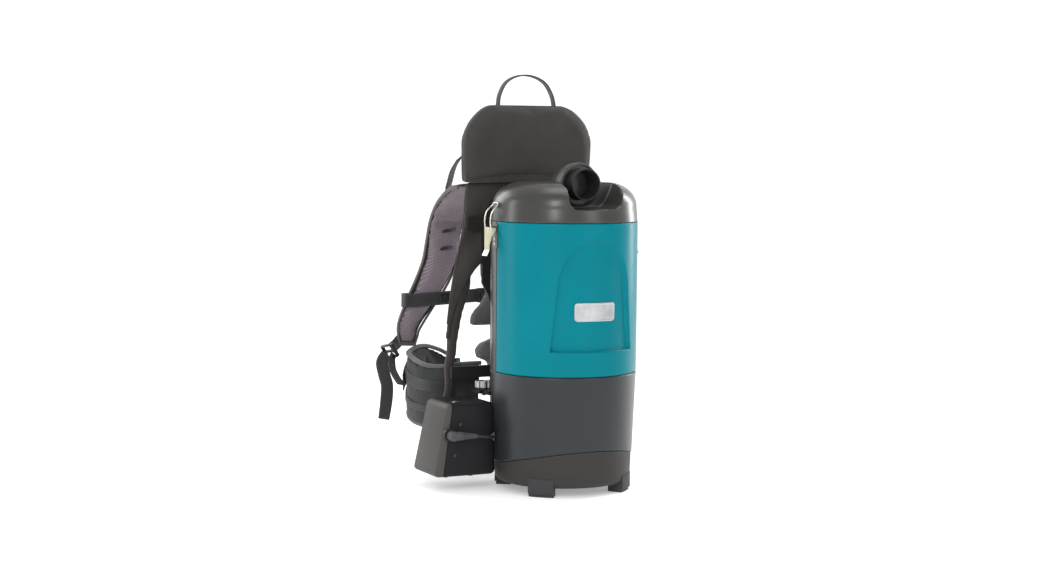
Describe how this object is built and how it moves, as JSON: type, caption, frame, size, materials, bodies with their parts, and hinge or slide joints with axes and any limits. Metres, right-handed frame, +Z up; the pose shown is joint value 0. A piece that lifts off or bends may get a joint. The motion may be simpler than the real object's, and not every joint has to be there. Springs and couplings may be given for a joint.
{
  "type": "backpack vacuum cleaner",
  "caption": "Round teal and dark grey canister vacuum with a swivel hose inlet and latched lid, battery housing and padded backpack harness.",
  "frame": {"origin": "Centre of the canister's base, on the floor that its feet stand on", "axes": "+X to the canister's right seen from the hose inlet, +Y towards the wearer, +Z up; the hose inlet faces -Y"},
  "size_m": [0.4276, 0.4719, 0.6827],
  "materials": {
    "dark_plastic": "moulded dark grey plastic with a satin gloss",
    "teal_plastic": "glossy teal moulded plastic",
    "badge_metal": "plain brushed nameplate with no lettering",
    "grey_plastic": "blue-grey moulded plastic with a satin gloss",
    "base_plastic": "dark textured plastic",
    "foot_rubber": "dense black rubber",
    "latch_metal": "yellow-passivated zinc-plated steel",
    "latch_wire": "zinc-plated spring wire",
    "black_plastic": "black moulded plastic",
    "steel": "turned steel",
    "filter_fabric": "non-woven filter cloth",
    "collar_plastic": "blue moulded collar",
    "filter_foam": "open filter foam",
    "motor_steel": "pressed steel casing",
    "copper": "wound copper and laminations",
    "motor_alloy": "pressed aluminium fan",
    "housing_plastic": "black moulded plastic with a fine spark texture",
    "cover_plastic": "warm grey moulded plastic with a fine spark texture",
    "pack_plastic": "wrapped battery pack",
    "board": "circuit board",
    "switch_plastic": "glossy black rocker",
    "plug_rubber": "moulded plug rubber",
    "lead_rubber": "black cable sheath",
    "screw_steel": "black oxide screws",
    "knob_metal": "cast alloy hand knob",
    "pack_fabric": "coated black-brown pack cloth",
    "lumbar_mesh": "grey spacer mesh over foam",
    "head_fabric": "coated black-brown pack cloth over foam",
    "webbing": "black woven nylon webbing",
    "belt_fabric": "black pack cloth over foam with a grey binding",
    "strap_mesh": "mauve-grey spacer mesh over foam with a black shell",
    "buckle_plastic": "black acetal buckle"
  },
  "bodies": {
    "root": {"canister_body": "dark_plastic", "front_cover": "teal_plastic", "badge": "badge_metal", "motor_housing": "grey_plastic", "base_cover": "base_plastic", "feet": "foot_rubber", "latch_brackets": "latch_metal", "latch_pins": "steel", "filter_bag": "filter_fabric", "bag_collar": "collar_plastic", "filter_grid": "black_plastic", "motor_filter": "filter_foam", "motor_plate": "grey_plastic", "motor_can": "motor_steel", "motor_bearings": "steel", "motor_mounts": "foot_rubber", "exhaust_foam": "filter_foam", "battery_housing": "housing_plastic", "battery_cover": "cover_plastic", "battery_pack": "pack_plastic", "control_board": "board", "switch_bezel": "black_plastic", "battery_socket": "black_plastic", "lead_plug": "plug_rubber", "power_lead": "lead_rubber", "lead_gland": "plug_rubber", "housing_screws": "screw_steel", "back_plate": "black_plastic", "upper_bracket": "black_plastic", "lower_bracket": "black_plastic", "back_cover": "pack_fabric", "side_columns": "pack_fabric", "centre_pad": "pack_fabric", "lumbar_pad": "lumbar_mesh", "head_pad": "head_fabric", "haul_loop": "webbing", "hip_wing_left": "belt_fabric", "hip_wing_right": "belt_fabric", "shoulder_strap_left": "strap_mesh", "shoulder_strap_right": "strap_mesh", "load_lifters": "webbing", "sternum_strap": "webbing", "sternum_buckle": "buckle_plastic", "lower_webbing": "webbing", "belt_webbing": "webbing", "strap_hardware": "buckle_plastic"},
    "lid": {"lid": "dark_plastic", "lid_gasket": "foot_rubber", "lid_catches": "latch_metal"},
    "inlet": {"inlet_sleeve": "black_plastic"},
    "latch_left": {"latch_left_lever": "latch_metal"},
    "bail_left": {"latch_left_bail": "latch_wire"},
    "latch_right": {"latch_right_lever": "latch_metal"},
    "bail_right": {"latch_right_bail": "latch_wire"},
    "fan": {"motor_shaft": "steel", "rotor": "copper", "impeller": "motor_alloy"},
    "switch": {"power_switch": "switch_plastic"},
    "knob_left": {"clamp_knob_left": "knob_metal"},
    "knob_right": {"clamp_knob_right": "knob_metal"}
  },
  "joints": [
    {"name": "lid_lift", "type": "slide", "parent": "root", "child": "lid", "axis": [0, 0, 1], "range_m": [0, 0.026]},
    {"name": "inlet_swivel", "type": "hinge", "parent": "lid", "child": "inlet", "pos_m": [0, -0.055, 0.501], "axis": [0, -1, 0], "continuous": true},
    {"name": "latch_left_open", "type": "hinge", "parent": "root", "child": "latch_left", "pos_m": [-0.125, 0.008, 0.428], "axis": [0, 1, 0], "range_deg": [0, 86]},
    {"name": "bail_left_swing", "type": "hinge", "parent": "latch_left", "child": "bail_left", "pos_m": [-0.133, 0.008, 0.428], "axis": [0, -1, 0], "range_deg": [0, 155]},
    {"name": "latch_right_open", "type": "hinge", "parent": "root", "child": "latch_right", "pos_m": [0.125, 0.008, 0.428], "axis": [0, -1, 0], "range_deg": [0, 86]},
    {"name": "bail_right_swing", "type": "hinge", "parent": "latch_right", "child": "bail_right", "pos_m": [0.133, 0.008, 0.428], "axis": [0, 1, 0], "range_deg": [0, 155]},
    {"name": "fan_spin", "type": "hinge", "parent": "root", "child": "fan", "pos_m": [0, 0, 0.12], "axis": [0, 0, 1], "continuous": true},
    {"name": "switch_rock", "type": "hinge", "parent": "root", "child": "switch", "pos_m": [-0.172, 0.044, 0.138], "axis": [0, 1, 0], "range_deg": [0, 12]},
    {"name": "knob_left_turn", "type": "hinge", "parent": "root", "child": "knob_left", "pos_m": [-0.084, 0.13, 0.154], "axis": [0, 0, 1], "continuous": true},
    {"name": "knob_right_turn", "type": "hinge", "parent": "root", "child": "knob_right", "pos_m": [0.084, 0.13, 0.154], "axis": [0, 0, 1], "continuous": true}
  ],
  "couplings": [
    {"joint": "latch_left_open", "follows": "lid_lift", "rad_per_m": 57.692},
    {"joint": "bail_left_swing", "follows": "lid_lift", "rad_per_m": 103.85},
    {"joint": "latch_right_open", "follows": "lid_lift", "rad_per_m": 57.692},
    {"joint": "bail_right_swing", "follows": "lid_lift", "rad_per_m": 103.85}
  ]
}
